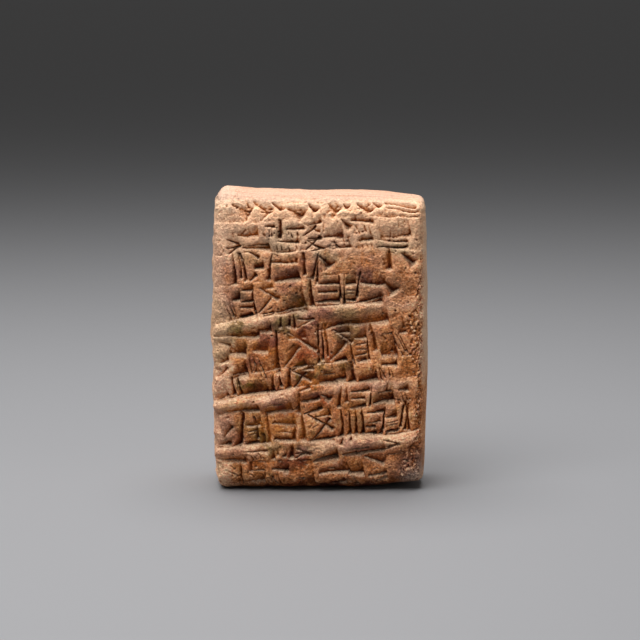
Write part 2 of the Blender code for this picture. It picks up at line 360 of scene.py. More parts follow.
# The rows from left to right: each sign's kind and its width in mm
rowSigns = (
    "plain 5.6, dent 2.6, plain 1, dent 2.6, corner 2.4, plain 1, dent 3, corner 2.4,"
    " plain 1.2, dent 3, corner 2.2, plain 1, dent 3.4, corner 1.8, pair 7.2",
    "plain 5.2, log 5, hatch 2.4, column 1.4, hatch 3.6, crossed 3.8, log 4, corner 1.6,"
    " hatch 4.4, log 7.4",
    "plain 3.4, fan 3.2, lens 6, hatch 5.4, crossed 4.2, grid 5.4, hatch 3.6, pair 8.2",
    "plain 4.2, posts 2.8, arrow 3.4, column 1.4, pair 5.6, posts 3.2, corner 2.4, plain 9.4,"
    " column 2.4, plain 2.6, corner 2",
    "plain 4.2, hatch 1.8, grate 3.2, crossed 3.6, log 5.6, column 1.8, stack 5.2, box 3,"
    " pair 4.4, corner 2.6",
    "log 9, log 3.5, posts 4, fan 3.2, log 16.4",
    "plain 1.2, fan 2.8, pair 4.4, hatch 3.6, column 2, crossed 6, posts 2.6, crossed 4.4,"
    " box 3.4, column 1.8, lens 3.4, hatch 2.6",
    "lens 4.4, twins 2.4, log 4.6, posts 4, crossed 5, lens 5.4, column 2, log 4.4, hatch 3.6",
    "log 10.5, lens 5, column 1.8, pair 4, corner 2.4, twins 3, stack 4, lens 5, hatch 2.6",
    "spike 4.4, column 1.6, box 3.6, column 1.4, box 5.4, column 1.6, crossed 6, column 1.6,"
    " posts 4, grate 3.4, box 3.6, twins 1.8",
    "log 6.8, hatch 4.2, posts 3.4, column 1.6, fan 4, log 5, lens 7.4, fan 4",
    "log 5, column 1.4, lens 5, hatch 3.4, log 6.4, pair 5, hatch 3.4, fan 4",
)
# The reverse carries a few shallower rows below its upper edge
reverseSigns = (
    "plain 4, log 5, twins 3.6, lens 4.4, fan 3.6, posts 4.2, pair 4.6, corner 2.4, log 4.2",
    "plain 4, pair 4.6, crossed 4.2, column 2.2, lens 4.6, arrow 3.4, stack 4.4, hatch 3.8, corner 2.4",
    "plain 4, fan 3.8, lens 4.6, posts 4.4, log 5.4, corner 2.6",
)
signs = {
    "seed": 41,
    "reverseSeed": 43,
    "deep": (1.5 * mm, 2.1 * mm),
    "usualHeight": 5.0 * mm,  # in rows less high than this, strokes are pressed less deep
    "lowDepth": (0.6, 0.4),  # share of the depth kept in any row, and share that goes with its height
    "rowDepth": (0.92, 1.1, 1.25, 1.1, 1.0, 1.0, 1.0, 1.0, 1.0, 1.0, 1.4, 0.9),
    "topZone": (0.18, 0.98),  # the part of the first row that is written on
    "lowZone": (-0.10, 0.02),  # where a sign's foot may lie in the other rows
    "highZone": (0.92, 1.06),  # and its top
    "proudLine": 0.6 * mm,  # signs start lower under a line that stands prouder than this
    "proudDrop": 0.14,  # by this share of the row
    # how far chance may shift and size each stroke, as shares, and turn it, in degrees
    "signTurn": 3.0,
    "acrossShift": 0.06,
    "upShift": 0.05,
    "long": (0.85, 1.2),
    "sunk": (0.7, 1.15),
    "tail": (0.1, 0.75),
    "head": (0.25, 0.6),  # mm
    "plump": (1.0, 1.35),
    "beamTurn": 7.0,
    "postTurn": 9.0,
    "slopeTurn": 4.0,
    "notchTurn": 14.0,
    "tickTurn": (8.0, 30.0),
    "lineTurn": 3.0,
    "postLean": 0.5,  # share of the row's slope that a post follows
    "slopeTail": 0.6,
    # shares of a stroke's thickness to each side of its deep line, its head in mm, and how much
    # deeper or shallower it is than the sign's other strokes
    "notch": (0.45, 0.55, 0.35, 1.2),
    "tick": (0.5, 0.3, 0.2, 0.55),
    "line": (0.4, 0.7, 0.2, 0.5),
    "notchTail": 0.1,
}


def chance(dice, most):  # a chance value from -most to most
    return dice.uniform(-most, most)


def pressSign(clayPage, dice, kind, u, v, wide, tall, slope, scale):
    # u, v is the sign's lower left corner; slope is the row's rise in degrees
    always, byHeight = signs["lowDepth"]
    deep = dice.uniform(*signs["deep"]) * scale * min(1.0, always + byHeight * tall / signs["usualHeight"])
    slope += chance(dice, signs["signTurn"])
    rise = math.tan(math.radians(slope))
    thin = reed["narrowShare"]
    for shape, across, up, long, thick, *turn in signKinds[kind]:
        x = u + (across + chance(dice, signs["acrossShift"])) * wide
        y = v + (up + chance(dice, signs["upShift"])) * tall + across * wide * rise
        long *= dice.uniform(*signs["long"])
        sunk = deep * dice.uniform(*signs["sunk"])
        tail = dice.uniform(*signs["tail"])
        head = dice.uniform(*signs["head"]) * mm
        run, fall = long * wide, long * tall
        if shape == "beam":
            body = thick * tall * dice.uniform(*signs["plump"])
            angle = 180 + slope + chance(dice, signs["beamTurn"])
            pressWedge(clayPage, x + run, y + run * rise, angle, run,
                       thin * body, (1.0 - thin) * body, sunk, head, tail)
        elif shape == "post":
            body = thick * wide * dice.uniform(*signs["plump"])
            angle = 90 + slope * signs["postLean"] + chance(dice, signs["postTurn"])
            pressWedge(clayPage, x, y - fall, angle, fall, (1.0 - thin) * body, thin * body, sunk, head, tail)
        elif shape == "slope":
            body = thick * tall
            steep = math.radians(turn[0])
            size = math.hypot(wide * math.cos(steep), tall * math.sin(steep)) * long
            lean = math.radians(slope + turn[0])
            angle = 180 + slope + turn[0] + chance(dice, signs["slopeTurn"])
            pressWedge(clayPage, x + size * math.cos(lean), y + size * math.sin(lean), angle, size,
                       thin * body, (1.0 - thin) * body, sunk, head, signs["slopeTail"] * tail)
        else:
            left, right, head, share = signs[shape]
            if shape == "notch":
                body = thick * tall
                angle = slope + turn[0] + chance(dice, signs["notchTurn"])
                pressWedge(clayPage, x, y, angle, long * max(wide, tall), left * body, right * body,
                           share * sunk, head * mm, signs["notchTail"])
            elif shape == "tick":
                angle = 90 + dice.uniform(*signs["tickTurn"])
                pressWedge(clayPage, x, y - fall, angle, fall, left * thick * mm, right * thick * mm,
                           share * sunk, head * mm, tail, True)
            else:
                angle = 180 + slope + chance(dice, signs["lineTurn"])
                pressWedge(clayPage, x + run, y, angle, run, left * thick * mm, right * thick * mm,
                           share * sunk, head * mm, tail, True)


# Light touches of the reed besides the signs. Places are shares of the sign or of the face.
# A stroke is its length, the walls to each side, its depth and head in mm, and its tail as a share
touches = {
    "strays": {  # pressed across a finished sign
        "counts": (0, 1, 2, 2),
        "angles": (90.0, 90.0, 90.0, 140.0, 182.0, 182.0, 216.0),
        "across": (0.15, 1.0),
        "up": (0.0, 0.7),
        "stroke": ((1.2, 3.2), (0.3, 1.1), (0.2, 0.4), (0.3, 0.7), 0.3, (0.1, 0.6)),
    },
    "slips": {  # anywhere in a row
        "count": 46,
        "angles": (90.0, 90.0, 130.0, 184.0, 184.0, 220.0),
        "across": (-0.42, 0.40),
        "stroke": ((0.6, 2.0), (0.12, 0.40), (0.12, 0.30), (0.15, 0.40), 0.2, (0.2, 0.7)),
    },
    "lineNicks": {  # across a ruled line
        "count": 22,
        "angles": (80.0, 100.0, 125.0, 170.0),
        "across": (-0.46, 0.42),
        "up": (-0.5, 0.1),  # mm from the line
        "stroke": ((0.4, 1.1), (0.10, 0.25), (0.10, 0.25), (0.15, 0.35), 0.15, 0.5),
    },
    "edgeNicks": {  # down the left edge, where the tablet was held
        "count": 48,
        "turn": (60.0, 200.0),
        "across": (-0.495, -0.44),
        "up": (0.05, 0.90),
        "stroke": ((0.5, 1.6), 0.35, 0.25, (0.3, 0.7), 0.25, 0.3),
    },
    "turn": 12.0,  # chance turn of strays and slips
}


def pressTouch(clayPage, dice, u, v, angle, stroke):  # draws what the stroke leaves to chance
    drawn = [dice.uniform(*value) if isinstance(value, tuple) else value for value in stroke]
    long, leftWall, rightWall, deep, head = (value * mm for value in drawn[:-1])
    pressWedge(clayPage, u, v, angle, long, leftWall, rightWall, deep, head, drawn[-1], True)


def pressStrays(clayPage, dice, u, v, wide, tall):
    strays = touches["strays"]
    for _ in range(dice.choice(strays["counts"])):
        angle = dice.choice(strays["angles"]) + chance(dice, touches["turn"])
        x = u + dice.uniform(*strays["across"]) * wide
        y = v + dice.uniform(*strays["up"]) * tall
        pressTouch(clayPage, dice, x, y, angle, strays["stroke"])


def pressSlips(clayPage, dice, row):
    slips, nicks = touches["slips"], touches["lineNicks"]
    for _ in range(slips["count"]):
        u = dice.uniform(*slips["across"]) * width
        v = mix(lineHeight(row + 1, u), lineHeight(row, u), dice.uniform(0.0, 1.0))
        angle = dice.choice(slips["angles"]) + chance(dice, touches["turn"])
        pressTouch(clayPage, dice, u, v, angle, slips["stroke"])
    for _ in range(nicks["count"]):
        u = dice.uniform(*nicks["across"]) * width
        v = lineHeight(row, u) + dice.uniform(*nicks["up"]) * mm
        angle = dice.choice(nicks["angles"])
        pressTouch(clayPage, dice, u, v, angle, nicks["stroke"])


def writeRows(clayPage, seed, texts, firstRow):
    dice = random.Random(seed)
    for row, text in enumerate(texts, firstRow):
        u = -width / 2
        scale = signs["rowDepth"][row]
        for entry in text.split(", "):
            kind, wide = entry.split()
            wide = float(wide) * mm
            top, foot = lineHeight(row, u), lineHeight(row + 1, u)
            farTop, farFoot = lineHeight(row, u + wide), lineHeight(row + 1, u + wide)
            slope = math.degrees(math.atan2((farTop + farFoot - top - foot) / 2, wide))
            low, high = signs["topZone"]
            if row:
                low, high = dice.uniform(*signs["lowZone"]), dice.uniform(*signs["highZone"])
            if ruledLines[row][3] > signs["proudLine"] and kind != "log":
                high -= signs["proudDrop"]
            tall = top - foot
            pressSign(clayPage, dice, kind, u, mix(foot, top, low), wide, (high - low) * tall, slope, scale)
            if row and kind not in ("plain", "log"):
                pressStrays(clayPage, dice, u, foot, wide, tall)
            u += wide
        if row:
            pressSlips(clayPage, dice, row)


def nickEdge(clayPage, seed):
    dice = random.Random(seed)
    nicks = touches["edgeNicks"]
    for _ in range(nicks["count"]):
        u, v = dice.uniform(*nicks["across"]) * width, dice.uniform(*nicks["up"]) * height
        angle = dice.uniform(*nicks["turn"])
        pressTouch(clayPage, dice, u, v, angle, nicks["stroke"])


pits = {  # small round holes left by grit that fell out
    "count": 130,
    "across": (-0.49, 0.49),  # shares of the face
    "up": (0.02, 0.98),
    "radius": (0.12, 0.26),  # mm
    "deep": (0.25, 0.5),
    "stretch": (0.8, 1.3),  # height against width
    "wall": (1.3, 0.8),  # where its wall starts and how wide it is, as shares of its radius
    "reach": 10,  # texels around a pit that it may touch
}


def pitClay(heights, seed):
    dice = random.Random(seed)
    for _ in range(pits["count"]):
        u, v = dice.uniform(*pits["across"]) * width, dice.uniform(*pits["up"]) * height
        i, j = int((u - pageU[0]) / page["texel"]), int((v - pageV[0]) / page["texel"])
        size = dice.uniform(*pits["radius"]) * mm
        reach = pits["reach"]
        window = (slice(j - reach, j + reach + 1), slice(i - reach, i + reach + 1))
        aside, off = pageU[None, window[1]] - u, pageV[window[0], None] - v
        away = np.hypot(aside, off * dice.uniform(*pits["stretch"]))
        rim, wall = pits["wall"]
        heights[window] -= dice.uniform(*pits["deep"]) * mm * smooth((rim * size - away) / (wall * size))


bands = {
    "seed": 5,
    "waver": ((2.4, 0.20), (0.5, 0.06)),  # size and strength of the ruled lines' wobble, mm
    "lumps": (1.3 * mm, 0.10 * mm),  # and of the lumps on the bands
    # size of the patches in which they swell more or less, how much, and within which shares
    "unevenness": (3.0 * mm, 0.35, 0.2, 1.8),
    "lip": 0.72,  # below 1 the swell sits towards the upper line
    "undercut": 0.5,  # how far a band sinks towards the proud line below it
    "sinking": (0.6, 0.4),  # where down the band that starts, and over how much
}


def bandPage():  # the ruled bands: gently plump, proud at the upper lip
    seed = bands["seed"]
    waver = 0.0
    for number, (size, most) in enumerate(bands["waver"]):
        waver = waver + blotches(size * mm, seed + 2 * number) * most * mm
    size, most, *limits = bands["unevenness"]
    strength = np.clip(1.0 + most * blotches(size, seed + 1), *limits)
    heights = np.zeros((lines, columns))
    level = pageV[:, None] + waver
    for row in range(rowCount):
        top, foot = lineHeight(row, pageU)[None, :], lineHeight(row + 1, pageU)[None, :]
        inside = (level <= top) & (level > foot)
        share = np.clip((top - level) / (top - foot), 0.0, 1.0) ** bands["lip"]
        plump = np.sqrt(np.maximum(4.0 * share * (1.0 - share), 0.0))
        crest, below = ruledLines[row][3], ruledLines[row + 1][3]
        sunk = bands["undercut"] * below * ramp(share, *bands["sinking"])
        heights = np.where(inside, crest * plump - sunk, heights)
    size, deep = bands["lumps"]
    return heights * strength + deep * blotches(size, seed + 4)


def edgeFade(left, right, low, high):  # 1 over the face, 0 past these margins inside its outline
    leftFade, fade = page["fade"]
    side = ramp(pageU + width / 2, left, leftFade) * ramp(width / 2 - right, pageU, fade)
    end = ramp(pageV, low, fade) * ramp(height - high, pageV, fade)
    return side[None, :] * end[:, None]


def rounded(relief):  # crests rolled over softly, creases left sharp
    soft = relief
    for spread, spare in reed["rounding"]:
        soft = np.minimum(soft, blur(relief, spread) + spare)
    return soft


face = {
    # how far the crumbled margin reaches in from the right edge, by share of the height
    "crumbled": ((0.0, 4.0 * mm), (0.10, 5.5 * mm), (0.18, 3.0 * mm), (0.42, 3.0 * mm), (0.50, 4.6 * mm),
                 (0.60, 4.6 * mm), (0.66, 2.4 * mm), (0.90, 1.6 * mm), (1.0, 0.0 * mm)),
    "crumbledWaver": (1.6 * mm, 0.5 * mm),
    "crumbledFade": 1.0 * mm,  # width of its inner border
    "crumbledRim": (0.5 * mm, 0.9 * mm),  # how far in from the edge it turns rough, and over how much
    "crumbledLoss": 0.8,  # share of the strokes' depth that is lost there
    "roughFoot": (2.4 * mm, 0.5),  # the lower edge is rubbed rough up to here, and how much
    "wear": (0.10, 0.25, 0.25),  # all over, in patches, and on the upper edge
    "wearPatch": 2.6 * mm,
    "upperEdge": (0.93, 0.02),  # share of the height from which that is, and over how much
    "wornSoft": 0.20 * mm,
    "soft": 0.03 * mm,  # how much every edge is softened
    # edges past which relief and grain fade out: left, right, low, high
    "reliefEnds": (-1.0 * mm, 0.0 * mm, -0.5 * mm, -2.5 * mm),
    "grainEnds": (-1.5 * mm, -0.5 * mm, -1.5 * mm, -2.0 * mm),
    # in mm the size and height of the grain, then its share on smooth clay and what rough clay adds
    "fineGrain": (0.15, 0.095, 0.48, 0.80),
    "coarseGrain": (0.5, 0.110, 0.30, 0.70),
    "fallenGrit": (0.14, 0.50, 0.25, 0.75, 2.1, 0.8),  # and what a spot has to pass, and over how much
    "leftMargin": (4.4, 1.5, 0.8, 0.13),  # in mm its width and fade, and its lumps' size and height
    "smear": (2.4, 0.22, 0.05),  # in mm the length, width and height of the top's finger marks
    "smeared": (0.90, 0.05),  # share of the height from which they are, and over how much
    "ridge": (1.2 * mm, 1.1 * mm),  # how far below a proud line its pale ridge of wear and painted highlight is, and its half width
    "ridgePatch": (1.5 * mm, 0.7, 0.3),  # size of its patches, and its usual and added strength
    "uprightSoft": 0.15 * mm,
}


def facePage():  # heights over the inscribed face, and what its colours follow
    clayPage = blankPage()
    writeRows(clayPage, signs["seed"], rowSigns, 0)
    nickEdge(clayPage, 3)
    relief = clayPage["height"]
    ends, wides = zip(*face["crumbled"])
    size, most = face["crumbledWaver"]
    crumbled = np.interp(pageV / height, ends, wides)[:, None] + most * blotches(size, 22)
    fromRight = width / 2 - pageU[None, :]
    beyond = smooth((crumbled - fromRight) / face["crumbledFade"] + 0.5)  # 1 where the rows are lost
    rough = beyond * ramp(fromRight, *face["crumbledRim"])
    foot, most = face["roughFoot"]
    rough = np.maximum(rough, most * smooth((foot - pageV) / foot)[:, None])
    everywhere, patchy, upper = face["wear"]
    worn = everywhere + patchy * blotches(face["wearPatch"], 21) + upper * ramp(upPage, *face["upperEdge"])
    relief = mix(rounded(relief + bandPage()), blur(relief, face["wornSoft"]), np.clip(worn, 0.0, 1.0))
    kept = 1.0 - face["crumbledLoss"] * beyond
    heights = blur(relief, face["soft"]) * kept * edgeFade(*face["reliefEnds"])
    inside = edgeFade(*face["grainEnds"])
    for seed, name in ((31, "fineGrain"), (32, "coarseGrain")):
        size, deep, everywhere, added = face[name]
        heights += inside * (everywhere + added * rough) * deep * mm * blotches(size * mm, seed)
    wide, fade, size, deep = face["leftMargin"]
    margin = smooth((wide * mm - pageU - width / 2) / (fade * mm))[None, :]
    heights += margin * deep * mm * blotches(size * mm, 36)
    size, deep, everywhere, added, *border = face["fallenGrit"]
    grit = ramp(blotches(size * mm, 33), *border)
    heights -= inside * (everywhere + added * rough) * deep * mm * grit
    pitClay(heights, 4)
    long, wide, deep = face["smear"]
    heights += ramp(upPage, *face["smeared"]) * deep * mm * blotches(long * mm, 34, wide * mm)
    # the ridge below each proud line, which takes wear and painted highlight
    crest = np.zeros((lines, columns))
    place, spread = face["ridge"]
    for row in range(rowCount):
        if ruledLines[row][3] > signs["proudLine"]:
            below = lineHeight(row, pageU)[None, :] - pageV[:, None] - place
            crest = np.maximum(crest, np.exp(-(below / spread) ** 2))
    size, usual, added = face["ridgePatch"]
    crest *= np.clip(usual + added * blotches(size, 37), 0.0, 1.0)
    upright = blur(clayPage["upright"], face["uprightSoft"])
    fields = {"rough": rough * np.ones((lines, columns)), "upright": upright, "crest": crest}
    return heights, {**fields, **stainPages(clayPage["lot"])}


reverse = {
    "depth": 0.8,  # of the face's strokes
    "wear": 0.35,
    "wornSoft": 0.22 * mm,
    "writtenEnds": (1.0 * mm, 1.0 * mm, 0.0 * mm, 0.0 * mm),
    "clayEnds": (-3.0 * mm, -4.0 * mm, -3.0 * mm, -4.0 * mm),
    "grain": ((0.2 * mm, 0.030 * mm, 51), (0.6 * mm, 0.035 * mm, 52)),  # size, height and seed
    # finger marks: length, width, height and seed
    "marks": ((4.0 * mm, 1.6 * mm, 0.09 * mm, 53), (1.6 * mm, 0.4 * mm, 0.02 * mm, 56)),
    "dents": (0.9 * mm, 0.35 * mm, 54, 2.0, 0.8),  # size, height, seed, and what a dent has to pass
}


def reversePage():  # worn shallow rows, smeared and slightly dented clay below them
    clayPage = blankPage()
    writeRows(clayPage, signs["reverseSeed"], reverseSigns, 1)
    relief = clayPage["height"]
    relief = mix(rounded(relief), blur(relief, reverse["wornSoft"]), reverse["wear"])
    relief = reverse["depth"] * relief * edgeFade(*reverse["writtenEnds"])
    relief += sum(deep * blotches(size, seed) for size, deep, seed in reverse["grain"])
    relief += sum(deep * blotches(long, seed, wide) for long, wide, deep, seed in reverse["marks"])
    size, deep, seed, *border = reverse["dents"]
    relief -= deep * ramp(blotches(size, seed), *border)
    pitClay(relief, 55)
    return relief * edgeFade(*reverse["clayEnds"])


# Painted shade that deepens into the hollows of the relief and painted highlight on its crests, worked out
# from its depth
shade = {
    "fine": (0.28 * mm, 0.40 * mm, 0.46),  # hollows of this size, the depth that counts as full, share
    "broad": (1.2 * mm, 1.3 * mm, 0.44),
    "ledge": (0.3, 1.2),  # the slope at which dust and painted highlight start, and what more it takes to cover
}


def hollows(heights):  # 0 on a crest, 0.5 on level clay, 1 in a crevice: from painted highlight to painted shade
    size, full, share = shade["fine"]
    fine = (blur(heights, size) - heights) / full
    size, full, other = shade["broad"]
    broad = (blur(heights, size) - heights) / full
    return 0.5 + np.clip(share * fine + other * broad, -0.5, 0.5)


def ledges(heights):  # 1 where the clay faces steeply up, for its dust and painted highlight
    start, more = shade["ledge"]
    rise = np.gradient(heights, page["texel"], axis=0)
    return smooth((-rise - start) / more)


lumps = {  # the size and height of each kind of lump in mm, and its seed
    "all": ((5.0, 0.12, 1), (1.6, 0.06, 2)),
    "hiddenFrom": (-5.0 * mm, 6.0 * mm),  # depth at which the clay starts to turn plainer, over how much
    "hidden": (6.0, 0.28, 3),
    "hiddenSquash": 0.6,  # their width against their height
    "hiddenPits": (0.8, 0.30, 4, 0.62, 0.2),  # and what a pit has to pass, and over how much
    "chips": (2.4, 0.45, 12, 0.35, 0.3),
    "chippedEdge": (0.40, 0.2),  # how far round an edge its chips start, as a share of the rounding
    "foot": 0.8 * mm,  # relief fades out over this height, so that the tablet stands flat
}


def bareBlock():  # the lattice on the smooth block, with each point's place before it was rounded
    sides = (width, cadSize[1], height)
    spacing = (block["lattice"], block["sideLattice"], block["lattice"])
    data = latticeCube([round(side / step) for side, step in zip(sides, spacing)])
    places = np.empty(len(data.vertices) * 3)
    data.vertices.foreach_get("co", places)
    places = places.reshape(-1, 3)
    places[:, 1] = mix(places[:, 1], np.sin(places[:, 1] * math.pi / 2), block["sideCrowding"])
    places *= halfSize
    inner, offset = roundedOffset(places)
    points = shapedByHand(inner + offset * radii)
    points += np.array([0.0, highCorner[1] - points[:, 1].max(), -points[:, 2].min()])
    data.vertices.foreach_set("co", points.ravel())
    data.update()
    stamp(f"lattice of {len(points)} points")
    return data, places, offset, points


def unevenness(points, offset):  # its height, where the clay is plainer, and where an edge is chipped
    total = sum(deep * mm * cloud(points, size * mm, seed) for size, deep, seed in lumps["all"])
    hidden = ramp(points[:, 1], *lumps["hiddenFrom"])  # the sides and the reverse
    size, deep, seed = lumps["hidden"]
    squash = np.array([1.0, 1.0, lumps["hiddenSquash"]])
    total += hidden * deep * mm * cloud(points * squash, size * mm, seed)
    size, deep, seed, *border = lumps["hiddenPits"]
    total -= hidden * deep * mm * ramp(cloud(points, size * mm, seed), *border)
    edgeShare = np.sort(np.abs(offset), axis=1)[:, 1]
    size, deep, seed, *border = lumps["chips"]
    chipped = ramp(edgeShare, *lumps["chippedEdge"]) * ramp(cloud(points, size * mm, seed), *border)
    total -= hidden * deep * mm * chipped
    return total, hidden, chipped


# Where the clay is rubbed pale, together with painted light that pales the top and the edges and lifts the
# painted shade
wear = {
    # how ragged the borders of the worn zones are: size in mm, strength and seed
    "ragged": ((1.6, 0.30, 8), (0.5, 0.25, 9)),
    # how far in front of the middle the face's wear and painted light start to fade, how ragged, over how
    # much, mm
    "fading": (5.0, 7.0, 15.0),
    "behind": 0.35,  # share of the wear, stains and painted light that the sides and the reverse have
    # A zone's border is a share of the height and how much further it is full.
    # Rubbed pale, partly wear and partly painted light that grows paler towards the top: border, strength,
    # and how ragged it is
    "rubbedAndLit": ((0.42, 0.25, 0.18, 0.0), (0.77, 0.08, 0.44, 1.0), (0.94, 0.03, 0.24, 1.0)),
    "lowCorner": (7.0, 5.0, 6.0, 4.0, 0.6),  # width and fade, height and fade in mm, strength
    # the margins, pale partly from smooth clay and partly from painted light on the edges: width and fade in
    # mm
    "left": (5.4, 4.0),
    "right": (2.2, 1.8),
    "leftBorder": (0.44, 0.08),
    "rightBorder": (0.34, 0.14),
    # how pale they are below their border and how much is added above it; on the right, higher up, this is
    # painted light on the rim
    "leftPale": (0.20, 0.20),
    "rightPale": (0.15, 0.75),
    # how much of the painted shade in their hollows is lifted, as painted light on the margins
    "leftFilled": 0.62,
    "rightShadeLifted": (0.16, 0.30),
    "upperShadeLifted": (0.74, 0.08, 0.07),  # border and strength of the painted light that lifts the shade towards the top
    "haze": (0.965, 0.025),  # border of the cooler upper edge
    "ridge": (0.30, 0.18),  # how much painted shade is lifted from a proud line's ridge, and how much it is rubbed pale and given painted highlight
    "onlyCrests": (0.70, 0.32),  # how deep the pale rubbing and painted light reach, and over how much they fade
    "chip": 0.7,  # how pale the chipped edges are
}


def wornAndLitShares(points, shares, hidden, chipped):  # adds to shares where the clay is pale from wear and painted light, where painted shade is lifted, and where it is hazy
    ragged = sum(strength * cloud(points, size * mm, seed) for size, strength, seed in wear["ragged"])
    start, waver, run = wear["fading"]
    seen = 1.0 - smooth((points[:, 1] + (start + waver * ragged) * mm) / (run * mm))
    shown = mix(wear["behind"], 1.0, seen)
    level = points[:, 2] / height
    fromLeft, fromRight = points[:, 0] + width / 2, width / 2 - points[:, 0]
    rubbedAndLit = 0.0
    for start, run, strength, waver in wear["rubbedAndLit"]:
        rubbedAndLit = rubbedAndLit + strength * ramp(level, start, run, waver * ragged)
    wide, fadeAcross, tall, fadeUp, strength = wear["lowCorner"]
    corner = strength * smooth((wide * mm - fromRight) / (fadeAcross * mm))
    rubbedAndLit += corner * smooth((tall * mm - points[:, 2]) / (fadeUp * mm))
    wide, fade = wear["left"]
    left = smooth((wide * mm - fromLeft) / (fade * mm) + ragged)
    wide, fade = wear["right"]
    right = smooth((wide * mm - fromRight) / (fade * mm) + ragged)
    below, added = wear["leftPale"]
    leftPale = left * (below + added * ramp(level, *wear["leftBorder"]))
    highRight = ramp(level, *wear["rightBorder"], 0.5 * ragged)
    below, added = wear["rightPale"]
    rightPale = right * (below + added * highRight)
    # painted light: painted shade lifted on the margins and towards the top
    below, added = wear["rightShadeLifted"]
    shadeLifted = shown * np.maximum(wear["leftFilled"] * left, right * (below + added * highRight))
    start, run, strength = wear["upperShadeLifted"]
    shadeLifted = np.maximum(shadeLifted, seen * strength * ramp(level, start, run, ragged))
    ridgeShadeLifted, ridgeRubbedAndLit = wear["ridge"]
    crest = shares.pop("crest")
    shadeLifted = np.maximum(shadeLifted, ridgeShadeLifted * seen * crest)
    shares["hollowShade"] = shares["hollowShade"] - shadeLifted
    rubbedAndLit = np.maximum(rubbedAndLit, ridgeRubbedAndLit * seen * crest)
    pale = np.maximum(rubbedAndLit, shown * np.maximum(leftPale, rightPale))
    deepest, fade = wear["onlyCrests"]
    pale = pale * smooth((deepest - shares["hollowShade"]) / fade)
    shares["pale"] = np.maximum(pale, hidden * wear["chip"] * chipped)
    shares["haze"] = ramp(level, *wear["haze"], 0.5 * ragged)


def makeTablet():
    data, places, offset, points = bareBlock()
    normals = np.empty(len(points) * 3)
    data.vertex_normals.foreach_get("vector", normals)
    normals = normals.reshape(-1, 3)
    u, v, front = unrolled(places)
    heights, faceFields = facePage()
    backHeights = reversePage()
    relief = np.where(front, sampled(heights, u, v), sampled(backHeights, -u, v))
    uneven, hidden, chipped = unevenness(points, offset)
    standing = smooth(points[:, 2] / lumps["foot"])
    points += normals * ((relief + uneven) * standing)[:, None]
    data.vertices.foreach_set("co", points.ravel())
    fields = {"hollowShade": hollows(heights), "ledge": ledges(heights), **faceFields}
    backFields = {"hollowShade": hollows(backHeights), "ledge": ledges(backHeights)}
    shares = {"smeared": hidden}
    for name, picture in fields.items():
        if name in backFields:
            behind = sampled(backFields[name], -u, v)
        else:
            behind = wear["behind"] * sampled(picture, -u, v)
        shares[name] = np.where(front, sampled(picture, u, v), behind)
    wornAndLitShares(points, shares, hidden, chipped)
    for name, share in shares.items():
        data.attributes.new(name, "FLOAT", "POINT").data.foreach_set("value", share)
    data.update()
    stamp("relief pressed")
    return data


# Stains, and a painted shade where the lower edge turns under: how they blend, their colour, and how strongly
# they fleck the middle of the face
stains = {
    "ochre": ("MIX", "#d28038", 0.85),
    "plum": ("MULTIPLY", "#9d7389", 1.0),
    "rust": ("MULTIPLY", "#b98a72", 0.80),
    # painted shade where the lower edge turns under
    "lowEdgeShade": ("MULTIPLY", "#7c5c48", 0.0),
    "olive": ("MULTIPLY", "#8f9a5c", 1.0),
    "rose": ("MIX", "#a88c80", 0.0),
}
# Their larger spots: share across, share up, half width and half height in mm, and strength
stainSpots = {
    "ochre": ((0.28, 0.81, 3.6, 1.3, 0.6), (0.31, 0.70, 2.2, 3.4, 0.5), (0.26, 0.485, 3.8, 1.8, 0.6),
              (0.34, 0.285, 3.6, 1.3, 0.5), (0.62, 0.30, 3.0, 2.0, 0.3), (0.14, 0.22, 3.0, 3.0, 0.25)),
    "plum": ((0.73, 0.73, 3.4, 2.6, 0.9), (0.45, 0.58, 4.5, 3.0, 0.7), (0.25, 0.86, 4.0, 1.2, 0.6),
             (0.55, 0.86, 5.0, 1.2, 0.5), (0.60, 0.17, 4.0, 2.0, 0.4), (0.92, 0.07, 5.0, 4.0, 0.35)),
    "rust": ((0.46, 0.44, 7.0, 4.5, 0.7), (0.38, 0.53, 4.0, 2.0, 0.6), (0.48, 0.33, 7.0, 2.5, 0.6),
             (0.72, 0.37, 6.0, 2.5, 0.4), (0.58, 0.00, 14.0, 3.6, 0.75), (0.42, 0.76, 6.0, 3.5, 0.5),
             (0.60, 0.66, 5.0, 2.5, 0.5), (0.40, 0.10, 12.0, 3.5, 0.2)),
    # painted shade along the lower edge
    "lowEdgeShade": ((0.62, -0.02, 13.0, 4.4, 0.9), (0.20, -0.03, 8.0, 2.6, 0.6)),
    "olive": ((0.13, 0.56, 3.0, 2.6, 0.55), (0.15, 0.66, 2.2, 1.8, 0.45), (0.85, 0.84, 4.0, 1.4, 0.9),
              (0.17, 0.37, 3.0, 1.6, 0.8), (0.35, 0.15, 6.0, 2.0, 0.6), (0.52, 0.80, 3.0, 1.6, 0.5)),
    "rose": ((0.95, 0.03, 5.0, 4.6, 0.55),),
}
fleck = {
    "middle": (0.42, 0.34, 0.25),  # share across where most flecks are, half width, and the least beside it
    "low": (-0.05, 0.2),  # share up from which there are flecks, and over how much
    "high": (0.96, 0.1),
    "fine": (0.35 * mm, 0.4, 0.3),  # size of the finest, share in spots and in flecks
    "patchy": (0.9 * mm, 0.45),
    "sizes": (2.0 * mm, 0.8 * mm, 0.5),  # and the smaller ones' share
    "spare": (0.1, 2.0),  # what has to be passed for a fleck to show, and over how much
    "lots": (0.1, 0.18, 0.08, 1.4),  # first stain's lot, step to the next, half width, how full it is
    "ownSoft": 0.12 * mm,
    "own": (1.5 * mm, 0.85, 0.7, 0.5),  # a stroke's own tint: size of its patches, share, middle, spread
}


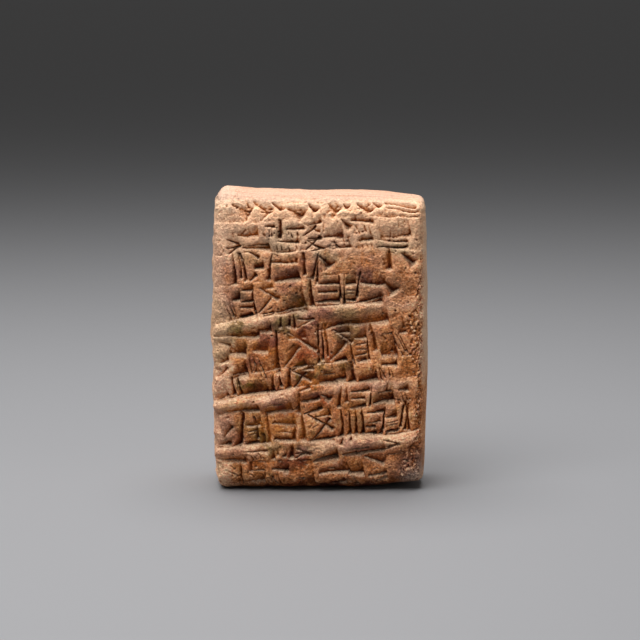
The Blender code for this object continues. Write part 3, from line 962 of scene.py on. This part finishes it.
def stainPages(lot):  # lot gives each stroke its own tint
    pages = {}
    place, spread, least = fleck["middle"]
    middle = least + (1.0 - least) * np.exp(-((acrossPage - place) / spread) ** 2)
    top, fade = fleck["high"]
    middle = middle * ramp(upPage, *fleck["low"]) * smooth((top - upPage) / fade)
    for number, (name, (blend, color, scattered)) in enumerate(stains.items()):
        total = np.zeros((lines, columns))
        for across, up, wide, tall, strength in stainSpots[name]:
            away = ((acrossPage - across) * width / (wide * mm)) ** 2
            away = away + ((upPage - up) * height / (tall * mm)) ** 2
            total = np.maximum(total, strength * np.exp(-away))
        size, inSpots, inFlecks = fleck["fine"]
        fine = blotches(size, 70 + number)
        size, share = fleck["patchy"]
        total *= 1.0 + share * blotches(size, 60 + number) + inSpots * fine
        first, step, half, full = fleck["lots"]
        own = blur(smooth(full - np.abs(lot - first - step * number) / half), fleck["ownSoft"])
        large, small, share = fleck["sizes"]
        flecks = blotches(large, 80 + number) + share * blotches(small, 90 + number)
        flecks = ramp(flecks + inFlecks * fine, *fleck["spare"])
        size, share, usual, spread = fleck["own"]
        own = share * own * smooth(usual + spread * blotches(size, 95 + number))
        pages[name] = np.clip(np.maximum(total, scattered * middle * np.maximum(flecks, own)), 0.0, 1.0)
    return pages


def thinned(data, name):  # the same shape with the triangles spent where the relief is
    data.polygons.foreach_set("use_smooth", np.ones(len(data.polygons), bool))
    piece = bpy.data.objects.new(name, data)
    bpy.context.scene.collection.objects.link(piece)
    group = piece.vertex_groups.new(name="unwritten")
    hidden = np.empty(len(data.vertices), np.float32)
    data.attributes["smeared"].data.foreach_get("value", hidden)
    steps = np.round(hidden * block["weightSteps"]) / block["weightSteps"]
    for step in np.unique(steps):
        weight = mix(*block["thinning"], float(step))
        group.add(np.nonzero(steps == step)[0].tolist(), weight, "REPLACE")
    thin = piece.modifiers.new("thin", "DECIMATE")
    thin.ratio = block["mostTriangles"] / (2 * len(data.polygons))
    thin.use_collapse_triangulate = True
    thin.vertex_group = group.name
    thin.vertex_group_factor = block["faceCare"]
    graph = bpy.context.evaluated_depsgraph_get()
    final = bpy.data.meshes.new_from_object(piece.evaluated_get(graph))
    piece.modifiers.clear()
    piece.data = final
    bpy.data.meshes.remove(data)
    stamp(f"thinned to {len(final.polygons)} triangles")
    return piece


tablet = thinned(makeTablet(), "tabletRelief")


def addNode(tree, kind, settings=None, links=None):
    node = tree.nodes.new(kind)
    for name, value in (settings or {}).items():
        if isinstance(name, int) or name in node.inputs:
            node.inputs[name].default_value = value
        else:
            setattr(node, name, value)
    for name, source in (links or {}).items():
        tree.links.new(source, node.inputs[name])
    return node


clay = {
    "roughness": 0.85,
    "ior": 1.35,
    "specular": 0.3,
    # how deep a place lies, from crest to crevice, and its colour: the clay's own red-brown with painted
    # highlight on the crests and painted shade deepening into the crevices
    "depths": ((0.0, "#f0bb93"), (0.34, "#df9b67"), (0.50, "#c07640"),
               (0.66, "#98541f"), (0.82, "#7a3608"), (1.0, "#5e2206")),
    # size in mm, detail and roughness; real silt is finer than these specks and wouldn't show
    "noises": {"mottle": (1.6, 5.0, 0.65), "speck": (0.36, 1.0, 0.5),
               "grit": (0.42, 3.0, 0.6), "crumb": (0.6, 2.0, 0.6)},
    "mottleShare": 0.2,
    "speckAmount": 0.40,
    "speckSpan": (0.3, 0.7),  # the noise values between which specks go from dark to light
    "roughSpecks": 0.30,  # added where the clay has crumbled
    "gritDepth": 0.90 * mm,
    "wornShare": 0.35,  # how much of the specks and grit is left on worn and smeared clay and under painted light
    "fibre": (1.4 * mm, 0.30 * mm),  # length and spacing of the reed's fibres; real ones are finer too
    "fibreShare": 0.20,
    "dustAndHighlight": "#dcb896",  # pale dust and painted highlight on every ledge that faces up
    "dustAndHighlightAmount": 0.75,
    "rubbedAndLit": "#cdab8e",
    "haze": "#dadae4",  # the upper edge is cooler
    "crumbShade": "#8a5038",  # dirt between the crumbs of the rough margins
    "crumbSpan": (0.56, 0.66),
}


def sunDriedClay():
    # fine river clay, pressed by hand and dried: quite dull, pale where rubbed and where light is painted on,
    # red-brown in the cracks with painted shade deepening them
    material = bpy.data.materials.new("sunDriedClay")
    material.use_nodes = True
    tree = material.node_tree
    shader = tree.nodes["Principled BSDF"]
    shader.inputs["Roughness"].default_value = clay["roughness"]
    shader.inputs["IOR"].default_value = clay["ior"]
    shader.inputs["Specular IOR Level"].default_value = clay["specular"]
    field = {}
    for name in ("hollowShade", "ledge", "rough", "pale", "smeared", "upright", "haze", *stains):
        field[name] = addNode(tree, "ShaderNodeAttribute", {"attribute_name": name}).outputs["Fac"]
    place = addNode(tree, "ShaderNodeTexCoord").outputs["Object"]
    scale = {"Scale": (1.0 / mm, 1.0 / mm, 1.0 / mm)}
    inMm = addNode(tree, "ShaderNodeMapping", scale, {"Vector": place}).outputs["Vector"]
    noise = {}
    for name, (size, detail, roughness) in clay["noises"].items():
        settings = {"Scale": 1.0 / size, "Detail": detail, "Roughness": roughness}
        noise[name] = addNode(tree, "ShaderNodeTexNoise", settings, {"Vector": inMm}).outputs["Fac"]

    mottle = {"To Min": -clay["mottleShare"], "To Max": clay["mottleShare"]}
    mottle = addNode(tree, "ShaderNodeMapRange", mottle, {"Value": noise["mottle"]})
    depth = {0: field["hollowShade"], 1: mottle.outputs["Result"]}
    depth = addNode(tree, "ShaderNodeMath", {"operation": "ADD"}, depth)
    shades = addNode(tree, "ShaderNodeValToRGB", links={"Fac": depth.outputs["Value"]})
    elements = shades.color_ramp.elements
    elements.remove(elements[0])
    for level, color in clay["depths"][:-1]:
        elements.new(level)
    for element, (level, color) in zip(elements, clay["depths"]):
        element.position = level
        element.color = linear(color)
    # dust and painted highlight where the clay faces up
    dustAndHighlight = {"operation": "MULTIPLY", 1: clay["dustAndHighlightAmount"]}
    dustAndHighlight = addNode(tree, "ShaderNodeMath", dustAndHighlight, {0: field["ledge"]})
    dirt = dict(zip(("From Min", "From Max"), clay["crumbSpan"]))
    dirt = addNode(tree, "ShaderNodeMapRange", dirt, {"Value": noise["crumb"]})
    dirt = {0: dirt.outputs["Result"], 1: field["rough"]}
    dirt = addNode(tree, "ShaderNodeMath", {"operation": "MULTIPLY"}, dirt)
    layers = [(blend, tint, field[name]) for name, (blend, tint, scattered) in stains.items()]
    layers.append(("MIX", clay["rubbedAndLit"], field["pale"]))
    layers.append(("MULTIPLY", clay["haze"], field["haze"]))
    layers.append(("MIX", clay["dustAndHighlight"], dustAndHighlight.outputs["Value"]))
    layers.append(("MULTIPLY", clay["crumbShade"], dirt.outputs["Value"]))
    color = shades.outputs["Color"]
    for blend, tint, amount in layers:
        settings = {"data_type": "RGBA", "blend_type": blend, 7: linear(tint)}
        color = addNode(tree, "ShaderNodeMix", settings, {0: amount, 6: color}).outputs[2]
    # the larger of the pale share, from wear and painted light, and the smeared share
    worn = addNode(tree, "ShaderNodeMath", {"operation": "MAXIMUM"}, {0: field["pale"], 1: field["smeared"]})
    amount = {"To Min": clay["speckAmount"], "To Max": clay["wornShare"] * clay["speckAmount"]}
    amount = addNode(tree, "ShaderNodeMapRange", amount, {"Value": worn.outputs["Value"]})
    amount = {0: field["rough"], 2: amount.outputs["Result"]}
    amount = addNode(tree, "ShaderNodeMath", {"operation": "MULTIPLY_ADD", 1: clay["roughSpecks"]}, amount)
    sharp = dict(zip(("From Min", "From Max"), clay["speckSpan"]))
    sharp = addNode(tree, "ShaderNodeMapRange", sharp, {"Value": noise["speck"]})
    specked = {0: amount.outputs["Value"], 6: color, 7: sharp.outputs["Result"]}
    specked = addNode(tree, "ShaderNodeMix", {"data_type": "RGBA", "blend_type": "OVERLAY"}, specked)
    tree.links.new(specked.outputs[2], shader.inputs["Base Color"])

    long, apart = (1.0 / size for size in clay["fibre"])
    fibres = []
    for stretch in ((long, apart, apart), (apart, apart, long)):  # across, then upright
        drawn = addNode(tree, "ShaderNodeMapping", {"Scale": stretch}, {"Vector": place}).outputs["Vector"]
        fibres.append(addNode(tree, "ShaderNodeTexNoise", {"Scale": 1.0}, {"Vector": drawn}).outputs["Fac"])
    fibre = {0: field["upright"], 2: fibres[0], 3: fibres[1]}
    fibre = addNode(tree, "ShaderNodeMix", {"data_type": "FLOAT"}, fibre)
    texture = {2: noise["grit"], 3: fibre.outputs[0]}
    texture = addNode(tree, "ShaderNodeMix", {"data_type": "FLOAT", 0: clay["fibreShare"]}, texture)
    even = {"To Min": 1.0, "To Max": clay["wornShare"]}
    even = addNode(tree, "ShaderNodeMapRange", even, {"Value": worn.outputs["Value"]})
    bump = {"Height": texture.outputs[0], "Strength": even.outputs["Result"]}
    bump = addNode(tree, "ShaderNodeBump", {"Distance": clay["gritDepth"]}, bump)
    tree.links.new(bump.outputs["Normal"], shader.inputs["Normal"])
    return material


tablet.data.materials.clear()
tablet.data.materials.append(sunDriedClay())
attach(tablet, "root")
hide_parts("tablet")

studio = {
    "floorColor": "#717173",
    "floorSize": 60.0,
    "floorRoughness": 0.7,
    "fillColor": "#e6e5e3",
    "fillStrength": 0.20,
    "lampAim": (0.0, 0.0, 0.03),
    "viewTilt": 8.0,  # degrees down
    "distance": 0.455,
    "lens": 133.0,
    "aimHeight": 34.1 * mm,
    # each lamp: place, disk size and power
    "lamps": {
        "key": ((-0.18, -0.26, 0.47), 0.38, 3.2),
        "overhead": ((-0.03, 0.07, 0.47), 0.42, 3.7),
        "side": ((0.45, -0.30, 0.16), 0.30, 0.3),
    },
}


def makeFloor():
    bpy.ops.mesh.primitive_plane_add(size=studio["floorSize"], location=(0.0, 0.0, 0.0))
    floor = bpy.context.object
    floor.name = "floor"
    material = bpy.data.materials.new("paintedBoard")
    material.use_nodes = True
    shader = material.node_tree.nodes["Principled BSDF"]
    shader.inputs["Base Color"].default_value = linear(studio["floorColor"])
    shader.inputs["Roughness"].default_value = studio["floorRoughness"]
    floor.data.materials.append(material)


def makeLamp(name, place, size, power):
    lamp = bpy.data.lights.new(name, "AREA")
    lamp.shape = "DISK"
    lamp.size = size
    lamp.energy = power
    holder = bpy.data.objects.new(name, lamp)
    holder.location = place
    toTablet = Vector(studio["lampAim"]) - Vector(place)
    holder.rotation_euler = toTablet.to_track_quat("-Z", "Y").to_euler()
    bpy.context.scene.collection.objects.link(holder)


def makeCamera():
    tilt = math.radians(studio["viewTilt"])
    lens = bpy.data.cameras.new("camera")
    lens.lens = studio["lens"]
    camera = bpy.data.objects.new("camera", lens)
    aim = Vector((0.0, lowCorner[1], studio["aimHeight"]))
    camera.location = aim + studio["distance"] * Vector((0.0, -math.cos(tilt), math.sin(tilt)))
    camera.rotation_euler = (aim - camera.location).to_track_quat("-Z", "Y").to_euler()
    bpy.context.scene.collection.objects.link(camera)
    bpy.context.scene.camera = camera


makeFloor()
for name, (place, size, power) in studio["lamps"].items():
    makeLamp(name, place, size, power)
makeCamera()
world = bpy.data.worlds.new("studio")
world.use_nodes = True
fill = world.node_tree.nodes["Background"]
fill.inputs["Strength"].default_value = studio["fillStrength"]
fill.inputs["Color"].default_value = linear(studio["fillColor"])
bpy.context.scene.world = world
bpy.context.scene.view_settings.view_transform = "Standard"
print("floor, light and camera set")
